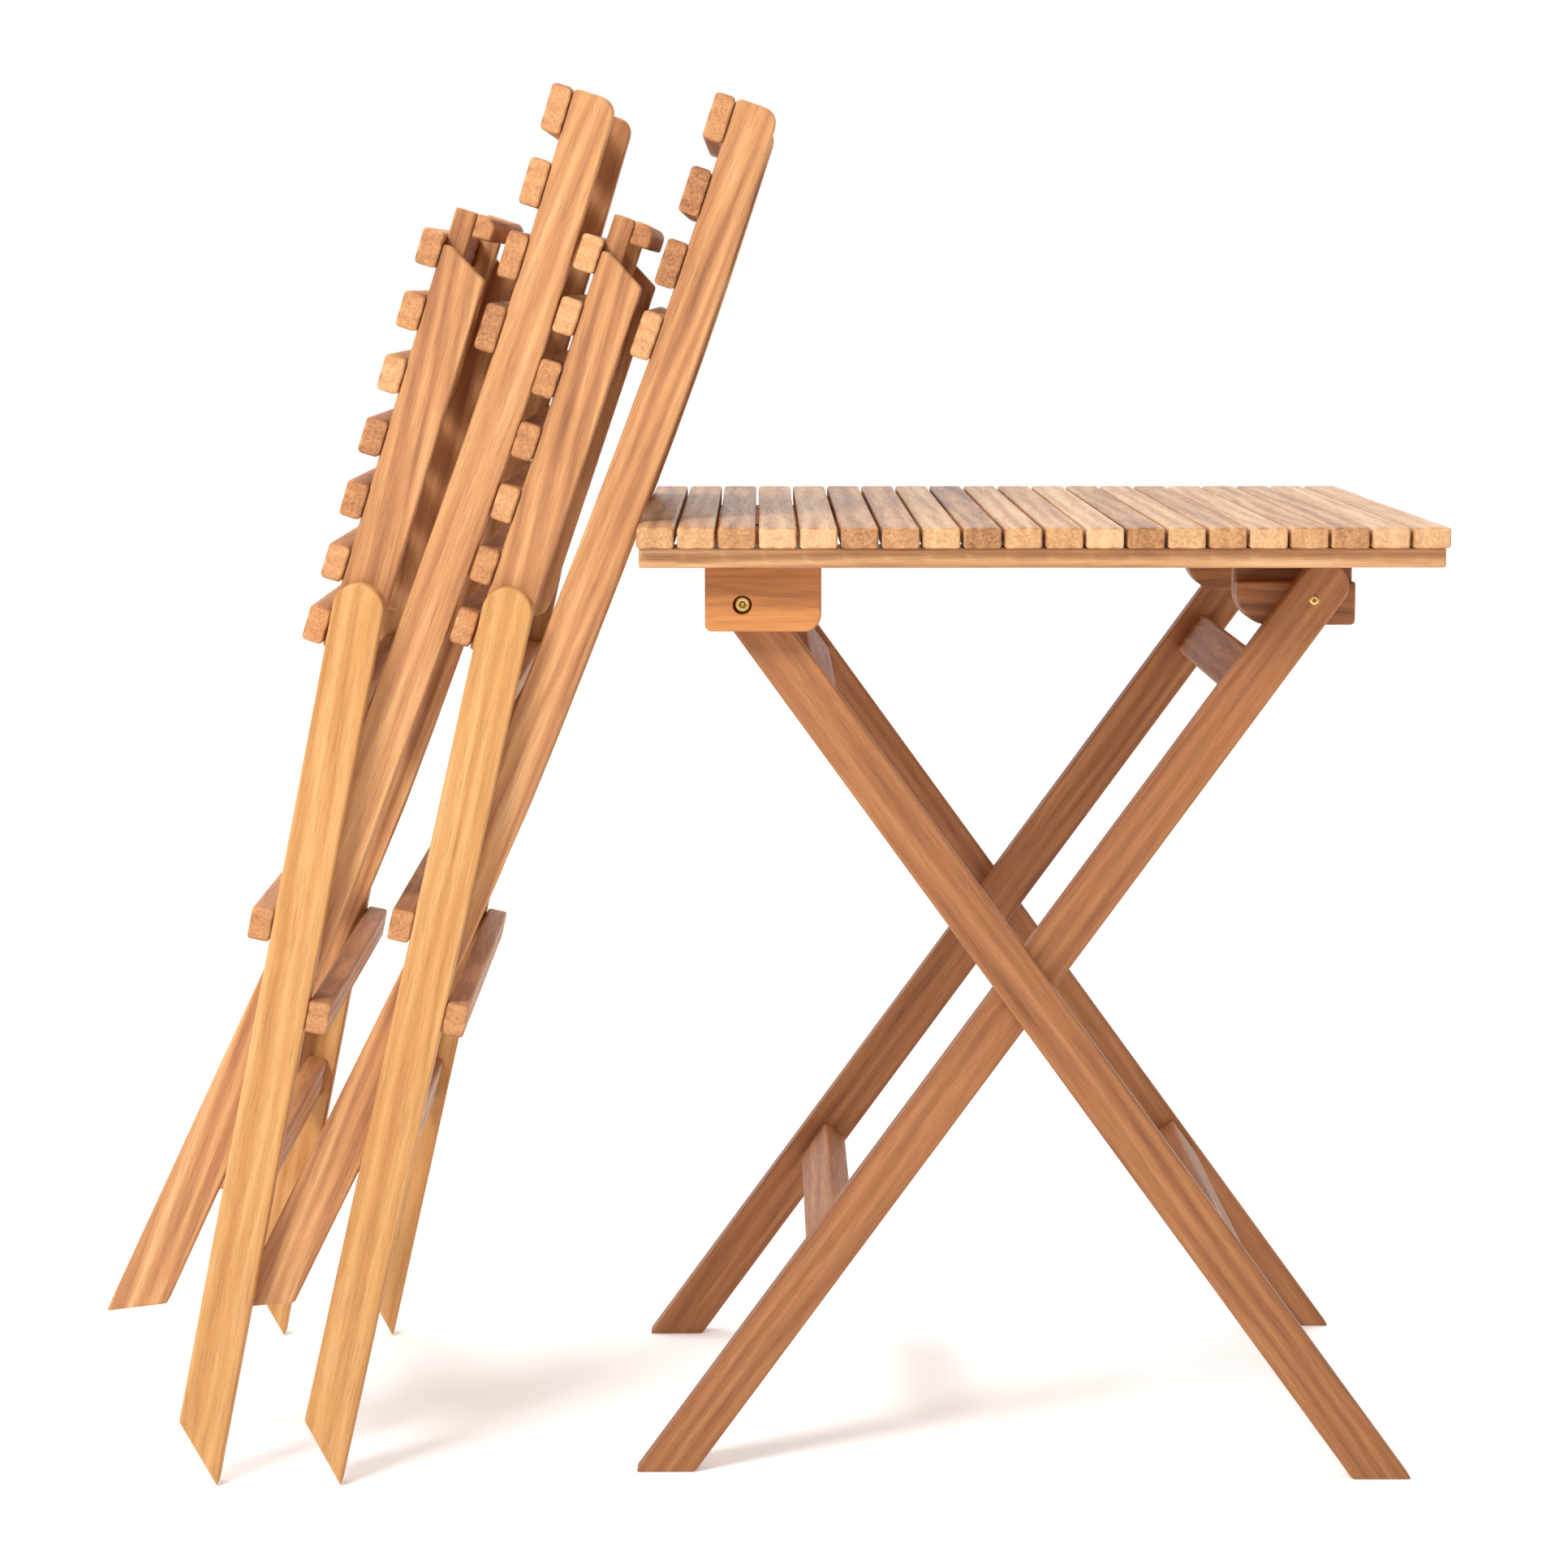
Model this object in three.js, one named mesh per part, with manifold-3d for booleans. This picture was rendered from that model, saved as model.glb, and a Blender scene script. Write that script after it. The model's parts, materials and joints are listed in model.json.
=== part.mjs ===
// Folding patio dining set: a slatted table on two crossed leg frames, and two folding chairs that
// stand folded, one leaning on the other and the inner one leaning on the table top's left end.
//
// Millimetres, +Z up, +X to the table's right, -Y towards the viewer's side (the front). The origin
// is on the ground, under the middle of the whole set's bounding box.
//
// Every rigid frame has a group of its own, placed at the pivot it turns about: inside a group, x runs
// across the frame, z runs along it, and the group's lean about y is the only rotation.

import * as THREE from 'three';
import { mergeVertices } from 'three/addons/utils/BufferGeometryUtils.js';
import Module from 'manifold-3d';

const wasm = await Module();
wasm.setup();

// ---------- driving dimensions ----------

const gap = 0.3;                   // between pieces that touch
const play = 0.8;                  // between layers that slide past each other

const top = {                      // the slatted table top
  length: 600, depth: 600, height: 740,
  slats: 20, slatWidth: 27.8, slatThick: 15.5, edge: 2,
  railHeight: 15, railWidth: 49, railInset: 10, railEnds: 1.5,
};

const tableLegs = {                // two frames of two legs, crossed on a blind dowel
  outerFace: 240, thick: 22, width: 37,
  pivotX: -222, pivotHeight: 680, pivotToCross: 368.5, lean: 36,
  topOverPivot: 13.5, dowelRadius: 8, dowelDepth: 14,
  barWidth: 38, barThick: 22,
  outerBars: { offset: 3.5, upper: 281, lower: -269.5 },
  innerBars: { offset: 5.5, upper: 291, lower: -260 },
};

const blocks = {                   // the four blocks under the top
  thick: 22, pivotLeft: -250, pivotRight: -163, pivotBottom: 660, pivotRound: 13,
  catchLeft: 155, catchRight: 246, catchBottom: 659, catchRound: 25,
  shelf: 692, shelfDepth: 20, catchThick: 38,
};

const bolt = { headRadius: 5.85, headDepth: 5, sunk: 6, shaftRadius: 3, tail: 19 };

const chair = {                    // sizes that both chairs share
  width: 462, memberThick: 21.5,
  legWidth: 38, pivotToCross: 280, crossToFoot: 384,
  postFootWidth: 40, postTopWidth: 34, postTop: 693,
  stopWidth: 17, stopHeight: 25, stopAlong: 31,
  openLegLean: 49.5, openPostLean: 32,
  foldedPostLean: 13.6, foldedSeatLean: 6,      // measured from the folded legs
  dowelRadius: 7, dowelDepth: 14,
};

const chairBack = {
  slats: 4, slatHeight: 36, slatThick: 15.5, topSlat: 675, pitch: 56.2, overhang: 2.5,
  catchTop: 181, catchHeight: 25, catchThick: 15.5,
};

const chairSeat = {
  slats: 7, slatWidth: 28, slatThick: 16.5, rearSlat: 272.5, pitch: 49.15, overhang: 2.5,
  railTop: -chair.legWidth / 2, railBottom: 18.5, railFront: -37, railRear: 278, railRound: 14,
  rearStep: 7, rearCut: 17,
  armStart: 150, armEnd: 307, armThick: 16.5, armWidth: 18,
  hookThick: 18, hookBottom: 13, hookRound: 8,
};

const lowBars = {                  // the two bars between a chair's legs, under the seat and low down
  seatAlong: 212, seatOffset: 4, seatWidth: 25, seatHeight: 17,
  footAlong: -172, footOffset: 2, footWidth: 17, footHeight: 36,
};

const place = { y: -22, innerLean: 12.8, outerLean: 11.4 };        // how the folded chairs stand

const lapped = 0.2;                // how far bodies that are fused run into each other
const arcSteps = 10;
const roundSegments = 24;

// ---------- finishes ----------

const wood = (colour, roughness) => new THREE.MeshStandardMaterial({ color: colour, roughness, metalness: 0 });
const finish = {
  slat: wood(0xd9a066, 0.55),
  frame: wood(0xc98b55, 0.6),
  dark: wood(0xb57a4a, 0.6),
  brass: new THREE.MeshStandardMaterial({ color: 0xc9a04a, roughness: 0.35, metalness: 1 }),
};

// ---------- helpers ----------

const rad = THREE.MathUtils.degToRad;
const tan = (degrees) => Math.tan(rad(degrees));
const cos = (degrees) => Math.cos(rad(degrees));
const sin = (degrees) => Math.sin(rad(degrees));

// A group turned about y, so that its own z leans towards +x by the angle.
function frameAt(parent, x, z, lean, y = 0) {
  const group = new THREE.Group();
  group.position.set(x, y, z);
  group.rotation.y = rad(lean);
  parent.add(group);
  return group;
}

// The outline of a shape, given thickness along y between two planes.
function slab(shape, yA, yB) {
  const low = Math.min(yA, yB);
  const high = Math.max(yA, yB);
  const geometry = new THREE.ExtrudeGeometry(shape, {
    depth: high - low, bevelEnabled: false, curveSegments: arcSteps,
  });
  geometry.rotateX(Math.PI / 2);
  geometry.translate(0, high, 0);
  return geometry;
}

// A rectangle with eased corners, centred at (x, z).
function rectangle(x, z, width, height, edge = 1.5) {
  const a = width / 2;
  const b = height / 2;
  const shape = new THREE.Shape();
  shape.moveTo(x - a + edge, z - b);
  shape.lineTo(x + a - edge, z - b);
  shape.lineTo(x + a, z - b + edge);
  shape.lineTo(x + a, z + b - edge);
  shape.lineTo(x + a - edge, z + b);
  shape.lineTo(x - a + edge, z + b);
  shape.lineTo(x - a, z + b - edge);
  shape.lineTo(x - a, z - b + edge);
  shape.closePath();
  return shape;
}

// A leg: round at the top, and cut at the foot so that it stands flat when it leans by footLean.
// floorDrop is how far the floor then lies below the frame's pivot.
function legShape(width, topZ, floorDrop, footLean) {
  const half = width / 2;
  const footZ = (x) => (-floorDrop + x * sin(footLean)) / cos(footLean);
  const shape = new THREE.Shape();
  shape.moveTo(-half, footZ(-half));
  shape.lineTo(half, footZ(half));
  shape.lineTo(half, topZ);
  shape.absarc(0, topZ, half, 0, Math.PI, false);
  shape.closePath();
  return shape;
}

// A round bar along y, from one plane to another.
function rod(x, z, radius, yA, yB) {
  const geometry = new THREE.CylinderGeometry(radius, radius, Math.abs(yB - yA), roundSegments);
  geometry.translate(x, (yA + yB) / 2, z);
  return geometry;
}

function solid(geometry) {
  const bare = geometry.clone();
  bare.deleteAttribute('normal');
  bare.deleteAttribute('uv');
  const merged = mergeVertices(bare, 1e-4);
  return new wasm.Manifold(new wasm.Mesh({
    numProp: 3,
    vertProperties: new Float32Array(merged.attributes.position.array),
    triVerts: new Uint32Array(merged.index.array),
  }));
}

// One geometry from a body, the geometries fused to it and the geometries cut from it.
function fuse(body, added = [], cut = []) {
  let result = solid(body);
  for (const geometry of added) result = result.add(solid(geometry));
  for (const geometry of cut) result = result.subtract(solid(geometry));
  const mesh = result.getMesh();
  const geometry = new THREE.BufferGeometry();
  geometry.setAttribute('position', new THREE.BufferAttribute(mesh.vertProperties, 3));
  geometry.setIndex(new THREE.BufferAttribute(mesh.triVerts, 1));
  geometry.computeVertexNormals();
  return geometry;
}

function piece(parent, name, geometry, material) {
  const mesh = new THREE.Mesh(geometry, material);
  mesh.name = name;
  parent.add(mesh);
  return mesh;
}

// A bar that runs across the set between two planes of y.
function crossbar(parent, name, shape, yA, yB, material) {
  return piece(parent, name, slab(shape, yA, yB), material);
}

const sides = [{ side: -1, end: 'front' }, { side: 1, end: 'back' }];
const hands = [{ side: -1, hand: 'left' }, { side: 1, hand: 'right' }];

// ---------- table ----------

const outerLegInner = tableLegs.outerFace - tableLegs.thick;
const innerLegOuter = outerLegInner - play;
const innerLegInner = innerLegOuter - tableLegs.thick;
const slatBottom = top.height - top.slatThick;
const railBottom = slatBottom - top.railHeight;
const crossX = tableLegs.pivotX + tableLegs.pivotToCross * sin(tableLegs.lean);
const crossZ = tableLegs.pivotHeight - tableLegs.pivotToCross * cos(tableLegs.lean);

// The block beside the tops of the inner legs: its outer part stops at a shelf, the rest runs up.
function catchBlock(side) {
  const outer = side * (innerLegInner - play);
  const shelfInner = outer - side * blocks.shelfDepth;
  const outline = (roof) => {
    const { catchLeft: left, catchRight: right, catchBottom: bottom, catchRound: round } = blocks;
    const shape = new THREE.Shape();
    shape.moveTo(left + round, bottom);
    shape.lineTo(right - 2, bottom);
    shape.lineTo(right, bottom + 2);
    shape.lineTo(right, roof);
    shape.lineTo(left, roof);
    shape.absarc(left + round, bottom + round, round, Math.PI, 1.5 * Math.PI, false);
    return shape;
  };
  return [
    slab(outline(blocks.shelf), outer, shelfInner - side * lapped),
    slab(outline(slatBottom + lapped), shelfInner, outer - side * blocks.catchThick),
  ];
}

// Slats along y, side by side along x, joined by the rail under each end and the catch blocks.
function tableTop(parent) {
  const pitch = (top.length - top.slatWidth) / (top.slats - 1);
  const slats = [];
  for (let i = 0; i < top.slats; i += 1) {
    const x = -top.length / 2 + top.slatWidth / 2 + i * pitch;
    const z = top.height - top.slatThick / 2;
    slats.push(slab(rectangle(x, z, top.slatWidth, top.slatThick, top.edge), -top.depth / 2, top.depth / 2));
  }
  const under = sides.flatMap(({ side }) => {
    const outer = side * (top.depth / 2 - top.railInset);
    const rail = rectangle(0, railBottom + (top.railHeight + lapped) / 2,
      top.length - 2 * top.railEnds, top.railHeight + lapped, 1);
    return [slab(rail, outer, outer - side * top.railWidth), ...catchBlock(side)];
  });
  piece(parent, 'table_top', fuse(slats[0], [...slats.slice(1), ...under]), finish.slat);
}

// The block that a pair of outer legs turns in: bolted from outside, its head in a counterbore.
function pivotBlocks(parent) {
  for (const { side, end } of sides) {
    const inner = side * (tableLegs.outerFace + play);
    const outer = inner + side * blocks.thick;
    const { pivotLeft: left, pivotRight: right, pivotBottom: bottom, pivotRound: round } = blocks;
    const shape = new THREE.Shape();
    shape.moveTo(left + 3, bottom);
    shape.lineTo(right - round, bottom);
    shape.absarc(right - round, bottom + round, round, -Math.PI / 2, 0, false);
    shape.lineTo(right, railBottom - gap);
    shape.lineTo(left, railBottom - gap);
    shape.lineTo(left, bottom + 3);
    shape.closePath();
    const x = tableLegs.pivotX;
    const z = tableLegs.pivotHeight;
    const sinkFloor = outer - side * (bolt.sunk + bolt.headDepth);
    const holes = [
      rod(x, z, bolt.shaftRadius + gap, inner - side, outer + side),
      rod(x, z, bolt.headRadius + 1.2, sinkFloor - side * gap, outer + side),
    ];
    piece(parent, `pivot_block_${end}`, fuse(slab(shape, inner, outer), [], holes), finish.frame);

    const tip = Math.abs(outer - side * bolt.sunk) - (tableLegs.outerFace - bolt.tail);
    const profile = [[0, 0], [bolt.headRadius, 0], [bolt.headRadius, bolt.headDepth],
      [bolt.shaftRadius, bolt.headDepth], [bolt.shaftRadius, tip], [0, tip]];
    const turned = new THREE.LatheGeometry(profile.map(([r, y]) => new THREE.Vector2(r, y)), roundSegments);
    if (side > 0) turned.rotateX(Math.PI);
    turned.translate(x, outer - side * bolt.sunk, z);
    piece(parent, `pivot_bolt_${end}`, fuse(turned), finish.brass);
  }
}

// The two bars that tie a pair of table legs together.
function legBars(frame, name, bars, reach) {
  for (const label of ['upper', 'lower']) {
    const shape = rectangle(bars.offset, bars[label], tableLegs.barThick, tableLegs.barWidth, 2);
    crossbar(frame, `${name}_bar_${label}`, shape, -reach, reach, finish.dark);
  }
}

// The outer frame hangs on the pivot bolts; blind dowels in its legs carry the inner frame.
function outerFrame(parent) {
  const { width, lean, thick, dowelRadius, dowelDepth, pivotToCross } = tableLegs;
  const frame = frameAt(parent, crossX, crossZ, -lean);
  for (const { side, end } of sides) {
    const outer = side * tableLegs.outerFace;
    const inner = outer - side * thick;
    const leg = slab(legShape(width, pivotToCross, crossZ, -lean), outer, inner);
    const dowel = rod(0, 0, dowelRadius, inner + side * thick / 2, inner - side * (play + dowelDepth));
    const hole = rod(0, pivotToCross, bolt.shaftRadius + gap, outer + side, inner - side);
    piece(frame, `outer_leg_${end}`, fuse(leg, [dowel], [hole]), finish.frame);
  }
  legBars(frame, 'outer_leg', tableLegs.outerBars, outerLegInner - gap);
}

// The inner frame turns on the dowels, and its tops rest beside the catch blocks.
function innerFrame(parent) {
  const { width, lean, thick, dowelRadius, dowelDepth, pivotToCross, topOverPivot } = tableLegs;
  const frame = frameAt(parent, crossX, crossZ, lean);
  for (const { side, end } of sides) {
    const outer = side * innerLegOuter;
    const inner = outer - side * thick;
    const leg = slab(legShape(width, pivotToCross + topOverPivot, crossZ, lean), outer, inner);
    const socket = rod(0, 0, dowelRadius + gap, outer + side, outer - side * (dowelDepth + gap));
    piece(frame, `inner_leg_${end}`, fuse(leg, [], [socket]), finish.frame);
  }
  legBars(frame, 'inner_leg', tableLegs.innerBars, innerLegInner - gap);
}

function table() {
  const group = new THREE.Group();
  tableTop(group);
  pivotBlocks(group);
  outerFrame(group);
  innerFrame(group);
  return group;
}

// ---------- chair ----------

// Layers of a chair from outside in: legs, then posts and seat rails, then the seat's hook arms.
const legOuter = chair.width / 2;
const legInner = legOuter - chair.memberThick;
const postOuter = legInner - play;
const postInner = postOuter - chair.memberThick;
const armOuter = postInner - play;
const crossHeight = chair.crossToFoot * cos(chair.openLegLean);

// The post's centre line: straight from the foot past the crossing, then curving forward to the top.
const postLine = new THREE.SplineCurve([
  [0, -crossHeight / cos(chair.openPostLean)], [0, -90], [-1, 60], [-15, 257], [-36, 487], [-64, chair.postTop],
].map(([x, z]) => new THREE.Vector2(x, z)));

// Place, direction and half width of the post where its centre line reaches a height z.
function postAt(z) {
  let low = 0;
  let high = 1;
  for (let i = 0; i < 30; i += 1) {
    const middle = (low + high) / 2;
    if (postLine.getPoint(middle).y < z) {
      low = middle;
    } else {
      high = middle;
    }
  }
  const point = postLine.getPoint(low);
  const along = postLine.getTangent(low);
  const share = (z - postLine.points[0].y) / (chair.postTop - postLine.points[0].y);
  const width = THREE.MathUtils.lerp(chair.postFootWidth, chair.postTopWidth, share);
  return { point, along, lean: THREE.MathUtils.radToDeg(Math.atan2(along.x, along.y)), half: width / 2 };
}

function postShape() {
  const steps = 14;
  const footZ = (x) => (-crossHeight + x * sin(chair.openPostLean)) / cos(chair.openPostLean);
  const front = [];
  const rear = [];
  for (let i = 0; i <= steps; i += 1) {
    const z = THREE.MathUtils.lerp(-crossHeight / cos(chair.openPostLean) + 40, chair.postTop, i / steps);
    const { point, along, half } = postAt(z);
    front.push(new THREE.Vector2(point.x - along.y * half, point.y + along.x * half));
    rear.push(new THREE.Vector2(point.x + along.y * half, point.y - along.x * half));
  }
  const foot = chair.postFootWidth / 2;
  const { along, half } = postAt(chair.postTop);
  const tip = (across, down) => {
    const edge = rear[steps];
    return new THREE.Vector2(edge.x - along.y * across - along.x * down, edge.y + along.x * across - along.y * down);
  };
  const round = 12;
  const corner = [0, 1, 2, 3, 4].map((i) => {
    const turn = rad(22.5 * i);
    return tip(round - round * Math.cos(turn), round - round * Math.sin(turn));
  });
  const outline = [
    new THREE.Vector2(foot, footZ(foot)), ...rear.slice(0, steps), ...corner,
    tip(2 * half - 3, 0), tip(2 * half, 3), ...front.slice(0, steps).reverse(),
    new THREE.Vector2(-foot, footZ(-foot)),
  ];
  return new THREE.Shape(outline);
}

// Legs, with the dowels that the posts and the seat turn on, and the four bars between them.
function chairLegs(parent, name) {
  const shape = legShape(chair.legWidth, chair.pivotToCross, crossHeight, -chair.openLegLean);
  for (const { side, hand } of hands) {
    const inner = side * legInner;
    const from = inner + side * chair.memberThick / 2;
    const to = inner - side * (play + chair.dowelDepth);
    const dowels = [0, chair.pivotToCross].map((z) => rod(0, z, chair.dowelRadius, from, to));
    const leg = fuse(slab(shape, side * legOuter, inner), dowels);
    piece(parent, `${name}_leg_${hand}`, leg, finish.frame);
  }
  const stopX = chair.legWidth / 2 + gap + chair.stopWidth / 2;
  for (const [label, side] of [['front', -1], ['rear', 1]]) {
    const bar = rectangle(side * stopX, -side * chair.stopAlong, chair.stopWidth, chair.stopHeight);
    crossbar(parent, `${name}_stop_bar_${label}`, bar, -legOuter, legOuter, finish.dark);
  }
  const reach = legInner - gap;
  const under = rectangle(lowBars.seatOffset, lowBars.seatAlong, lowBars.seatWidth, lowBars.seatHeight);
  crossbar(parent, `${name}_seat_bar`, under, -reach, reach, finish.dark);
  const low = rectangle(lowBars.footOffset, lowBars.footAlong, lowBars.footWidth, lowBars.footHeight);
  crossbar(parent, `${name}_foot_bar`, low, -reach, reach, finish.dark);
}

// Posts, with the back slats and the bar that the seat hooks on, all on the posts' front edges.
function chairBackrest(parent, name) {
  for (const { side, hand } of hands) {
    const socket = rod(0, 0, chair.dowelRadius + gap, side * (postOuter + 1),
      side * (postOuter - chair.dowelDepth - gap));
    const post = fuse(slab(postShape(), side * postOuter, side * postInner), [], [socket]);
    piece(parent, `${name}_post_${hand}`, post, finish.frame);
  }
  const onFront = (z, thick) => {
    const { point, along, lean, half } = postAt(z);
    const out = half + gap + thick / 2;
    return frameAt(parent, point.x - along.y * out, point.y + along.x * out, lean);
  };
  const reach = postOuter + chairBack.overhang;
  for (let i = 0; i < chairBack.slats; i += 1) {
    const spot = onFront(chairBack.topSlat - i * chairBack.pitch, chairBack.slatThick);
    const shape = rectangle(0, 0, chairBack.slatThick, chairBack.slatHeight, 2);
    crossbar(spot, `${name}_back_slat_${i + 1}`, shape, -reach, reach, finish.slat);
  }
  const spot = onFront(chairBack.catchTop - chairBack.catchHeight / 2, chairBack.catchThick);
  const shape = rectangle(0, 0, chairBack.catchThick, chairBack.catchHeight);
  crossbar(spot, `${name}_catch_bar`, shape, -postOuter, postOuter, finish.dark);
}

// The seat: a rail on each side, with an arm inside it that runs on past the rail and carries the
// hook bar; slats lie across the rails.
function chairSeatParts(parent, name) {
  const s = chairSeat;
  const rail = new THREE.Shape();
  rail.moveTo(s.railTop, s.railFront);
  rail.lineTo(s.railBottom - s.railRound, s.railFront);
  rail.absarc(s.railBottom - s.railRound, s.railFront + s.railRound, s.railRound, -Math.PI / 2, 0, false);
  rail.lineTo(s.railBottom, s.railRear - s.rearCut);
  rail.lineTo(s.railTop + s.rearStep, s.railRear);
  rail.lineTo(s.railTop, s.railRear);
  rail.closePath();
  const arm = rectangle(s.railTop + s.armThick / 2, (s.armStart + s.armEnd) / 2,
    s.armThick, s.armEnd - s.armStart, 1);
  for (const { side, hand } of hands) {
    const socket = rod(0, 0, chair.dowelRadius + gap, side * (postOuter + 1),
      side * (postOuter - chair.dowelDepth - gap));
    const body = slab(rail, side * postOuter, side * (armOuter - lapped));
    const inside = slab(arm, side * armOuter, side * (armOuter - s.armWidth));
    piece(parent, `${name}_seat_rail_${hand}`, fuse(body, [inside], [socket]), finish.frame);
  }
  const hookTop = s.railTop + s.armThick + gap;
  const hook = new THREE.Shape();
  hook.moveTo(hookTop, s.armEnd - s.hookThick);
  hook.lineTo(s.hookBottom, s.armEnd - s.hookThick);
  hook.absarc(s.hookBottom - s.hookRound, s.armEnd - s.hookRound, s.hookRound, 0, Math.PI / 2, false);
  hook.lineTo(hookTop, s.armEnd);
  hook.closePath();
  crossbar(parent, `${name}_hook_bar`, hook, -armOuter, armOuter, finish.dark);

  const reach = postOuter + s.overhang;
  for (let i = 0; i < s.slats; i += 1) {
    const x = s.railTop - gap - s.slatThick / 2;
    const shape = rectangle(x, s.rearSlat - i * s.pitch, s.slatThick, s.slatWidth, 2);
    crossbar(parent, `${name}_seat_slat_${i + 1}`, shape, -reach, reach, finish.slat);
  }
}

// A folded chair, standing on the rear corners of its legs' feet, its crossing pivot at x = 0.
function foldedChair(name, lean) {
  const half = chair.legWidth / 2;
  const footZ = (-crossHeight - half * sin(chair.openLegLean)) / cos(chair.openLegLean);
  const height = half * sin(lean) - footZ * cos(lean);
  const group = frameAt(new THREE.Group(), 0, height, lean, place.y);
  chairLegs(group, name);
  chairBackrest(frameAt(group, 0, 0, chair.foldedPostLean), name);
  chairSeatParts(frameAt(group, 0, chair.pivotToCross, chair.foldedSeatLean), name);
  return group;
}

// ---------- standing the chairs against the table ----------

// The outlines of a group's pieces as seen from the front: edges in x and z, and the span in y.
function outlines(group) {
  group.updateMatrixWorld(true);
  const list = [];
  group.traverse((mesh) => {
    if (!mesh.isMesh) return;
    const points = mesh.geometry.attributes.position;
    const index = mesh.geometry.index;
    const box = new THREE.Box3().setFromObject(mesh, true);
    const corner = (i) => {
      const id = index ? index.getX(i) : i;
      return new THREE.Vector3().fromBufferAttribute(points, id).applyMatrix4(mesh.matrixWorld);
    };
    const edges = new Map();
    for (let i = 0; i < (index ? index.count : points.count); i += 1) {
      const a = corner(i);
      const b = corner(i - (i % 3) + ((i + 1) % 3));
      edges.set([a.x, a.z, b.x, b.z].map((v) => v.toFixed(2)).join(), [a, b]);
    }
    list.push({ box, edges: [...edges.values()] });
  });
  return list;
}

// The x at which an outline starts or ends at one height, within the y span of the other piece:
// sense is +1 for the right end, -1 for the left end.
function limitAt(edges, z, sense, other) {
  let best = -Infinity;
  for (const [a, b] of edges) {
    if (z < Math.min(a.z, b.z) || z > Math.max(a.z, b.z)) continue;
    if (Math.max(a.y, b.y) <= other.min.y || Math.min(a.y, b.y) >= other.max.y) continue;
    const share = Math.abs(b.z - a.z) < 1e-6 ? 0 : (z - a.z) / (b.z - a.z);
    best = Math.max(best, sense * THREE.MathUtils.lerp(a.x, b.x, share));
  }
  return sense * best;
}

// Slides a group along x until it all but touches what stands to its right.
function leanAgainst(group, support) {
  const behind = outlines(support);
  let room = Infinity;
  for (const mine of outlines(group)) {
    for (const other of behind) {
      if (mine.box.max.y <= other.box.min.y || mine.box.min.y >= other.box.max.y) continue;
      const low = Math.max(mine.box.min.z, other.box.min.z);
      const high = Math.min(mine.box.max.z, other.box.max.z);
      const levels = [...mine.edges, ...other.edges].map(([a]) => a.z).filter((z) => z >= low && z <= high);
      for (const z of new Set(levels)) {
        const clear = limitAt(other.edges, z, -1, mine.box) - limitAt(mine.edges, z, 1, other.box);
        room = Math.min(room, clear);
      }
    }
  }
  group.position.x += room - gap;
}

// ---------- the set ----------

const set = new THREE.Group();
const tableGroup = table();
const innerChair = foldedChair('inner_chair', place.innerLean);
const outerChair = foldedChair('outer_chair', place.outerLean);
leanAgainst(innerChair, tableGroup);
leanAgainst(outerChair, innerChair);
set.add(tableGroup, innerChair, outerChair);

set.updateMatrixWorld(true);
const span = new THREE.Box3().setFromObject(set, true);
set.position.set(-(span.min.x + span.max.x) / 2, -(span.min.y + span.max.y) / 2, -span.min.z);

export default set;
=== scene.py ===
# %% [markdown]
# # A folding patio set in oiled hardwood
# The set is a slatted table on crossed legs, with two folded chairs stood against its end. The packed
# model comes in first as a fixed frame: it gives every board its place and size. What is made here
# is what the eye sees: boards with eased edges, long grain that differs from board to board, end
# grain where a board is cut across, and yellow plated bolts.

# %% Load the frame
import json
import math

import bpy
import numpy as np
from mathutils.geometry import convex_hull_2d
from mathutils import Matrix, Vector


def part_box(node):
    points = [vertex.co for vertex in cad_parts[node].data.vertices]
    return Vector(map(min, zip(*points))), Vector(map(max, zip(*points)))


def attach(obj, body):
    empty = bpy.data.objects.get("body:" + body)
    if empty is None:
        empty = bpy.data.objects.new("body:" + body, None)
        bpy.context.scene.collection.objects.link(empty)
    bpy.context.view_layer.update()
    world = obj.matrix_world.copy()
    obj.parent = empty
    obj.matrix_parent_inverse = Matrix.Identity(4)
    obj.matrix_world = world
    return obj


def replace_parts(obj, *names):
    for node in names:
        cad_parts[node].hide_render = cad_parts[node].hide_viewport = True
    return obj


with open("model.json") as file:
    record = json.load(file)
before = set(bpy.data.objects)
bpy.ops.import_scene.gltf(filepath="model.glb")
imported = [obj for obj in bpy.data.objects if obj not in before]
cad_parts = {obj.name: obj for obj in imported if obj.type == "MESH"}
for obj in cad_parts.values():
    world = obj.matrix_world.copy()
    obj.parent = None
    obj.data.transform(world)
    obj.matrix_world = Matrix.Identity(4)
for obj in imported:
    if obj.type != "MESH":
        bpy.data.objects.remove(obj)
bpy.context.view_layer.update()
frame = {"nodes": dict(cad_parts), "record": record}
joints = {joint["name"]: joint for joint in frame["record"]["behaviour"]["joints"]}
bodies = frame["record"]["behaviour"]["bodies"]
body_of_node = {node: body for body, nodes in bodies.items() for node in nodes}

# %% [markdown]
# ## The camera
# Furniture like this is shown almost square on, from a little above the top, with a long lens so
# that the far legs come out nearly the size of the near ones. A long lens a few metres off does
# the same here. It is made first so that everything after it can be judged through it.

# %% Camera at the viewer's eye
camera = bpy.data.objects.new("camera", bpy.data.cameras.new("camera"))
bpy.context.collection.objects.link(camera)
camera.data.lens = 91.76
camera.data.sensor_width = 36.0
camera.data.clip_end = 60.0
camera.location = (-0.0033, -3.236, 0.9202)
camera.rotation_euler = (math.radians(82.82), 0.0, math.radians(-0.362))
bpy.context.scene.camera = camera
print("lens", camera.data.lens, "mm at", tuple(round(v, 3) for v in camera.location))

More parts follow.
